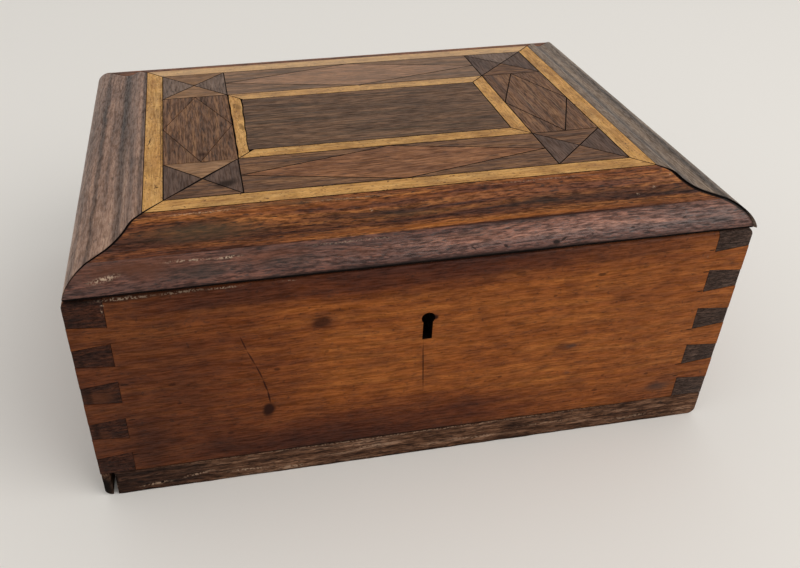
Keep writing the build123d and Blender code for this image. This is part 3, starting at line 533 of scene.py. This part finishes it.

# lid mouldings; marks on their tops are along, across, half length, half width, turn and strength
# the open mitres at the lid's front corners are not modelled; a near-black line along each paints the shadow in its
# gap
mitreGapShadow = {
    "face": "top", "colour": "0b0504", "blend": "MIX", "raggedSize": 12, "ragged": 0.3, "core": 0.6,
    "marks": [(-128.8, -91.9, 37, 0.85, 45, 1.0), (-91.5, -55.6, 26, 0.85, 43.5, 0.95)]}
rightMitreGapShadow = mitreGapShadow | {"marks": [(130.3, -93.4, 31, 0.9, -45, 1.0), (137.5, -100.6, 22, 1.8, -45, 1.0)]}
mouldBands = [
    # the next two groups darken the cove, the lower ovolo, the inner edge and the left end: painted shade, so that
    # the profile reads
    {"face": "top", "colour": "b4aea6", "blend": "MULTIPLY", "raggedSize": 20, "ragged": 4, "core": 0.5,
     "marks": [(0, -94.0, 260, 5.5, 0, 0.8), (-40, -99.5, 60, 2.0, 0, 0.4)]},
    {"face": "top", "colour": "b6a29a", "blend": "MULTIPLY", "raggedSize": 14, "ragged": 3, "core": 0.5,
     "marks": [(0, -113.2, 260, 2.4, 0, 0.9), (0, -83.0, 240, 1.6, 0, 0.5), (-150, -104, 90, 24, 0, 0.8),
               (-90, -110, 110, 6, 0, 0.6)]},
    {"face": "top", "colour": "2e2a26", "blend": "MIX", "raggedSize": 7, "ragged": 5, "core": 0.0,
     "marks": [(-100, -90.5, 40, 3.0, 0, 0.6), (-20, -92.0, 36, 2.4, 0, 0.5), (60, -93.5, 44, 2.2, 0, 0.5),
               (-95, -111.5, 28, 2.6, 0, 0.6), (118, -95, 18, 2.0, 0, 0.5), (-60, -111, 20, 3, 0, 0.5),
               (20, -109, 26, 1.6, 0, 0.35), (100, -108, 20, 1.4, 0, 0.3)]},
    # lighter orange streaks: the wood's orange in the cove, and a painted highlight along the nosing
    {"face": "top", "colour": "9a5a24", "blend": "MIX", "raggedSize": 10, "ragged": 4, "core": 0.0,
     "marks": [(20, -101.5, 150, 1.7, 0, 0.55), (-30, -87.2, 120, 1.0, 0, 0.35), (70, -82.8, 60, 0.8, 0, 0.5)]},
    # dark red lines in the quirk and at the foot of the cove: painted shade in these grooves
    {"face": "top", "colour": "2a0f07", "blend": "MIX", "raggedSize": 9, "ragged": 1.6, "core": 0.2,
     "marks": [(55, -104.0, 110, 1.3, 0, 0.85), (-80, -104.0, 70, 0.9, 0, 0.6), (40, -98.9, 100, 0.6, 0, 0.5)]},
    {"face": "front", "colour": "1c0d08", "blend": "MIX", "raggedSize": 2.5, "ragged": 1.0, "core": 0.5,
     "marks": [(34.3, 120.6, 1.5, 0.7, -20, 0.9), (57.3, 119.9, 2.2, 1.1, -5, 1.0), (60.8, 120.9, 2.0, 0.5, 25, 0.9),
               (20, 121.0, 1.6, 0.5, -30, 0.8), (93, 122.4, 1.2, 0.5, 0, 0.8), (118, 124.0, 1.6, 0.4, 15, 0.7),
               (-28, 120.0, 1.4, 0.5, 0, 0.7), (74, 121.8, 0.8, 0.5, 0, 0.7)]},
    # a dark band at the foot of the ovolo, and darker, matt patches along it, strongest at the left: painted shade on
    # the ovolo's underside and on its side away from the light
    {"face": "front", "colour": "2a120b", "blend": "MIX", "raggedSize": 9, "ragged": 1.2, "core": 0.1,
     "marks": [(20, 118.6, 190, 1.5, 0, 0.4)]},
    {"face": "top", "colour": "5c331e", "blend": "MIX", "raggedSize": 9, "ragged": 7, "core": 0.0,
     "marks": [(-122, -108, 44, 6.5, 0, 0.75), (-66, -108, 26, 4.0, 0, 0.6), (-30, -111, 22, 2.4, 0, 0.5),
               (24, -110, 24, 2.0, 0, 0.4), (90, -109, 20, 1.6, 0, 0.3)]},
    {"face": "top", "colour": "544836", "blend": "MIX", "raggedSize": 14, "ragged": 8, "core": 0.0,
     "marks": [(-92, -93, 40, 7, 0, 0.45), (-50, -83.5, 50, 2.5, 0, 0.35), (0, -94, 30, 2.4, 0, 0.3)]},
    {"face": "top", "colour": "bda48c", "blend": "MIX", "raggedSize": 1.8, "ragged": 1.4, "core": 0.0, "broken": 0.8,
     "marks": [(-134, -111.0, 8.5, 1.2, 8, 0.85), (-100, -107.6, 15, 0.8, -1, 0.6), (-84, -107.9, 8, 0.8, 2, 0.9),
               (-93, -84.6, 24, 1.0, 0, 0.5), (-30, -84.4, 30, 0.9, 0, 0.35), (60, -84.0, 40, 0.8, 0, 0.35),
               (-30, -106.5, 30, 0.8, 0, 0.35), (112, -92.0, 1.2, 0.9, 0, 0.9), (122, -88.0, 1.0, 0.8, 0, 0.9),
               (103, -95.0, 1.0, 0.8, 0, 0.8), (-20, -90.0, 1.0, 0.9, 0, 0.8)]},
    # a near-black line at the lid's bottom edge: painted shadow at the seam
    {"face": "front", "colour": "160906", "blend": "MIX", "raggedSize": 5, "ragged": 1.0, "core": 0.4,
     "marks": [(0, 117.4, 190, 1.7, 0, 0.95)]}]
# dark bands along the side mouldings' cove, quirk and inner edge: painted shade in the profile's hollows
sideProfileShade = {
    "face": "top", "colour": "867a70", "blend": "MULTIPLY", "raggedSize": 16, "ragged": 3, "core": 0.2,
    "marks": [(-129.5, 0, 3.4, 240, 0, 0.85), (-141.0, 0, 1.8, 240, 0, 0.9), (-119.5, 0, 1.6, 240, 0, 0.8),
              (-147, -40, 1.6, 90, 0, 0.4), (129.5, 0, 3.4, 240, 0, 0.85), (141.8, 0, 2.0, 240, 0, 0.9)]}
mouldX = makeTimber("walnutFrontMoulding", walnut, 0, [*mouldBands, mitreGapShadow, rightMitreGapShadow])
mouldEdge = makeTimber("rubbedWalnutEdge", rubbedWalnut, 0, [*mouldBands, mitreGapShadow, rightMitreGapShadow])
mouldBack = makeTimber("walnutBackMoulding", walnut | {"shift": 6.0}, 0)
mouldLeft = makeTimber("walnutLeftMoulding", sheenGreyWalnut | {"shift": 2.0}, 1, [sideProfileShade, mitreGapShadow])
mouldRight = makeTimber("walnutRightMoulding", darkWalnut | {"shift": 8.0}, 1, [sideProfileShade, rightMitreGapShadow])
unpolished = wornWalnut | {"polish": 0.1, "bump": 0.3, "speckDepth": 0.2}
underX = makeTimber("walnutUndersideLong", unpolished | {"shift": 15.0}, 0)
underY = makeTimber("walnutUndersideShort", unpolished | {"shift": 18.0}, 1)
mouldWork = {"ease": 0.25, "lengths": 4.0, "wear": 0.22, "wearSize": 24.0, "lip": 0.9, "edge": 10.3,
             "under": -0.5, "smooth": 22}
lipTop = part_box("lid_moulding_front")[0].z + mouldWork["lip"] * mm
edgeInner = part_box("lid_moulding_front")[0].y + mouldWork["edge"] * mm


def mouldFace(polygon):  # underside, lip, rubbed front edge, or the rest
    if polygon.normal.z < mouldWork["under"]:
        return 3
    if polygon.center.z < lipTop:
        return 1
    return 2 if axis == 0 and polygon.center.y < edgeInner else 0


for node, axis, timber in (("lid_moulding_front", 0, mouldX), ("lid_moulding_back", 0, mouldBack),
                           ("lid_moulding_left", 1, mouldLeft), ("lid_moulding_right", 1, mouldRight)):
    piece = copyOfNode(node, node + "_run")
    easeEdges(piece, mouldWork["ease"])
    cutAcross(piece, axis, mouldWork["lengths"])
    # the lip gets the near-black grime: painted shadow along the seam under the lid
    dressFaces(piece, [timber, grimeAndShadowTimber, mouldEdge, (underX, underY)[axis]], mouldFace)
    wearSurface(piece, mouldWork["wear"], mouldWork["wearSize"])
    finishPiece(piece, node, mouldWork["smooth"])
print("mouldings done")

# lid veneers
# the back stringing and bands are lightened towards a pale tone: painted sheen
veneers = {
    "outer_stringing_front": (boxwood, 0), "outer_stringing_back": (boxwood | {"shift": 3.0, "paintedSheen": 0.3}, 0),
    "outer_stringing_left": (boxwood | {"shift": 5.0}, 1), "outer_stringing_right": (boxwood | {"shift": 7.0}, 1),
    "inner_stringing_front": (boxwood | {"shift": 2.0}, 0),
    "inner_stringing_back": (boxwood | {"shift": 4.0, "paintedSheen": 0.1}, 0),
    "inner_stringing_left": (boxwood | {"shift": 6.0}, 1), "inner_stringing_right": (boxwood | {"shift": 8.0}, 1),
    "band_diamond_front": (redVeneer, 0), "band_diamond_back": (redVeneer | {"shift": 3.0, "paintedSheen": 0.17}, 0),
    "band_diamond_left": (groundVeneer | {"shift": 5.5}, 1), "band_diamond_right": (groundVeneer | {"shift": 7.0}, 1),
    "band_triangles_front": (groundVeneer, 0), "band_triangles_back": (groundVeneer | {"shift": 3.0, "paintedSheen": 0.1}, 0),
    "band_triangles_left": (groundVeneer | {"shift": 5.0}, 1),
    "band_triangles_right": (groundVeneer | {"shift": 9.0}, 1),
    "centre_panel": (rosewood, 0)}
veneerMarks = {
    "outer_stringing_front": [mitreGapShadow], "outer_stringing_left": [mitreGapShadow, {
        "face": "top", "colour": "1d100a", "blend": "MIX", "raggedSize": 4, "ragged": 1.2, "core": 0.3,
        "marks": [(-115.8, -12.8, 6.4, 0.45, 80, 0.9), (-112, -60, 1.2, 0.8, 0, 0.8), (-114, 30, 1.0, 0.7, 0, 0.7),
                  (-110.2, 0, 80, 0.6, 90, 0.6)]}],
    "inner_stringing_left": [{
        "face": "top", "colour": "1d100a", "blend": "MIX", "raggedSize": 9, "ragged": 0.8, "core": 0.5,
        "marks": [(-73.6, -6, 26, 0.7, 90, 0.95), (-70, 22, 2.5, 5, 20, 0.4), (-69.4, -4, 1.6, 6, 10, 0.4)]}],
    "inner_stringing_front": [{
        "face": "top", "colour": "1d100a", "blend": "MIX", "raggedSize": 5, "ragged": 1.2, "core": 0.3,
        "marks": [(0, -38.6, 70, 0.5, 0, 0.8), (-70.5, -35.5, 3.5, 0.5, 40, 0.9)]}],
    "band_diamond_left": [{
        "face": "top", "colour": "2a1710", "blend": "MIX", "raggedSize": 6, "ragged": 3.0, "core": 0.1,
        "marks": [(-90, -31, 5, 3, 0, 0.8), (-84, 10, 8, 2, 70, 0.4)]}],
    "band_diamond_right": [{
        "face": "top", "colour": "a98a6e", "blend": "MIX", "raggedSize": 8, "ragged": 2.0, "core": 0.1,
        "marks": [(86, 0, 30, 0.7, 90, 0.5), (93, 4, 26, 0.6, 90, 0.45), (100, -6, 18, 0.5, 90, 0.4)]}]}
veneerWork = {"ease": 0.14, "upright": 0.95}


def sunk(polygon):  # the edges of a veneer hold dirt
    return 0 if polygon.normal.z > veneerWork["upright"] else 1


# the left inner stringing is cut crooked: narrower at the front, with a wandering edge and a wide joint
skew = {
    "innerEdge": -65.7, "front": -2.7, "back": -0.8, "wave": 0.18, "waveLength": 17.0, "outerEdge": -73.9,
    "outerIn": 0.35, "step": 3.0, "reach": 0.6, "uncutPoints": 20}


def skewEdge(piece, edge, front, back, wave):
    if len(piece.data.vertices) < skew["uncutPoints"]:
        cutAcross(piece, 1, skew["step"])
    low, high = (corner[1] for corner in pieceBox(piece))
    for vertex in piece.data.vertices:
        if abs(vertex.co.x - edge * mm) < skew["reach"] * mm:
            share = (vertex.co.y - low) / (high - low)
            vertex.co.x += (front + (back - front) * share
                            + wave * math.sin(vertex.co.y / mm * 2 * math.pi / skew["waveLength"])) * mm


for node, (look, axis) in veneers.items():
    piece = copyOfNode(node, node + "_veneer")
    if node in ("inner_stringing_left", "centre_panel"):
        skewEdge(piece, skew["innerEdge"], skew["front"], skew["back"], skew["wave"])
    if node == "inner_stringing_left":
        skewEdge(piece, skew["outerEdge"], skew["outerIn"], skew["outerIn"], skew["wave"])
    easeEdges(piece, veneerWork["ease"], 1)
    timber = makeTimber(node + "Timber", look, axis, veneerMarks.get(node, ()))
    dressFaces(piece, [timber, timber if node.startswith("band") and node.endswith("left") else grimeAndShadowTimber], sunk)
    finishPiece(piece, node)

squareMarks = [mitreGapShadow, {
    "face": "top", "colour": "241914", "blend": "MIX", "raggedSize": 7, "ragged": 4.0, "core": 0.3,
    "marks": [(-81, -62, 8, 4.5, 30, 0.85), (-89.5, -38.5, 5, 2, 0, 0.8), (-97, -68, 7, 2, 20, 0.5)]}]
plum = makeTimber("plumVeneerTimber", plumVeneer, 1, squareMarks)
brown = makeTimber("brownVeneerTimber", groundVeneer | {"shift": 12.0}, 0, squareMarks)
tan = makeTimber("tanVeneerTimber", tanVeneer, 0, squareMarks)
grey = makeTimber("greyVeneerTimber", greyVeneer, 1)
squares = {  # the four triangles of each corner square: front, right, back, left
    "corner_front_left": (brown, plum, tan, plum), "corner_front_right": (brown, plum, brown, plum),
    "corner_back_left": (tan, grey, tan, grey), "corner_back_right": (brown, plum, grey, plum)}
for node, timbers in squares.items():
    piece = copyOfNode(node, node + "_veneer")
    easeEdges(piece, veneerWork["ease"], 1)
    low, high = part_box(node)
    middle = (low + high) / 2

    def quarter(polygon):
        if sunk(polygon):
            return 4
        away = polygon.center - middle
        slope = Vector((away.x / (high.x - low.x), away.y / (high.y - low.y)))
        if abs(slope.x) > abs(slope.y):
            return 1 if slope.x > 0 else 3
        return 2 if slope.y > 0 else 0

    dressFaces(piece, [*timbers, grimeAndShadowTimber], quarter)
    finishPiece(piece, node)
print("veneers done")

# metalwork
metalWork = {"ease": 0.15}
for node, slotName in slotOfNode.items():
    if slotName in ("brass", "iron"):
        piece = copyOfNode(node, node + "_metal")
        easeEdges(piece, metalWork["ease"], 1)
        dressFaces(piece, [agedBrass if slotName == "brass" else agedIron])
        finishPiece(piece, node)
print("metalwork done")

# floor, lights and camera
room = {
    "floorHalf": 6.0, "floorColour": "ebe9e6", "floorRough": 0.9, "ambient": "f4f2ee",  # metres here
    "brightSide": (0.25, -0.95, 0.1), "dimFrom": -0.6, "brightFrom": 0.9, "dim": 0.74, "bright": 0.9,
    "windowPlace": (1.15, -1.0, 1.4), "windowSize": 1.6, "windowPower": 14.0, "windowColour": "fffaf4"}
bpy.ops.object.select_all(action="DESELECT")
bpy.ops.mesh.primitive_plane_add(size=2 * room["floorHalf"], location=(0, 0, 0))
floor = bpy.context.object
floor.name = "floor"
paper = bpy.data.materials.new("paleFloor")  # matt studio paper, a plain pale ground
paper.use_nodes = True
paper.node_tree.nodes.clear()
paperShader = addNode(paper.node_tree, "BsdfPrincipled", {"Base Color": toLinear(room["floorColour"]),
                                                          "Roughness": room["floorRough"]})
addNode(paper.node_tree, "OutputMaterial", {"Surface": paperShader.outputs["BSDF"]})
floor.data.materials.append(paper)

world = bpy.data.worlds.new("softRoom")
bpy.context.scene.world = world
world.use_nodes = True
background = world.node_tree.nodes["Background"]
background.inputs["Color"].default_value = toLinear(room["ambient"])
away = addNode(world.node_tree, "TexCoord").outputs["Generated"]
towards = addNode(world.node_tree, "VectorMath", {0: away, 1: room["brightSide"]}, operation="DOT_PRODUCT")
glow = addNode(world.node_tree, "MapRange", {"Value": towards.outputs["Value"], "From Min": room["dimFrom"],
                                             "From Max": room["brightFrom"], "To Min": room["dim"],
                                             "To Max": room["bright"]})
world.node_tree.links.new(glow.outputs["Result"], background.inputs["Strength"])

windowData = bpy.data.lights.new("window", "AREA")
windowData.size = room["windowSize"]
windowData.energy = room["windowPower"]
windowData.color = toLinear(room["windowColour"])[:3]
window = bpy.data.objects.new("window", windowData)
window.location = room["windowPlace"]
window.rotation_euler = (-Vector(room["windowPlace"])).to_track_quat("-Z", "Y").to_euler()
bpy.context.scene.collection.objects.link(window)

lens = {"place": (-88.35, -384.17, 313.53), "turn": -9.73, "tilt": 33.18, "roll": 0.45, "focal": 36.29,
        "sensor": 36.0, "shiftX": 0.086, "shiftY": -0.0576}
cameraData = bpy.data.cameras.new("camera")
cameraData.sensor_width = lens["sensor"]
cameraData.lens = lens["focal"]
cameraData.shift_x = lens["shiftX"]
cameraData.shift_y = lens["shiftY"]
camera = bpy.data.objects.new("camera", cameraData)
camera.location = Vector(lens["place"]) * mm
aim = (Matrix.Rotation(math.radians(lens["turn"]), 3, "Z") @ Matrix.Rotation(math.radians(90 - lens["tilt"]), 3, "X")
       @ Matrix.Rotation(-math.radians(lens["roll"]), 3, "Z"))
camera.rotation_euler = aim.to_euler()
bpy.context.scene.collection.objects.link(camera)
bpy.context.scene.camera = camera
bpy.context.scene.view_settings.view_transform = "Standard"

print("room and camera ready")
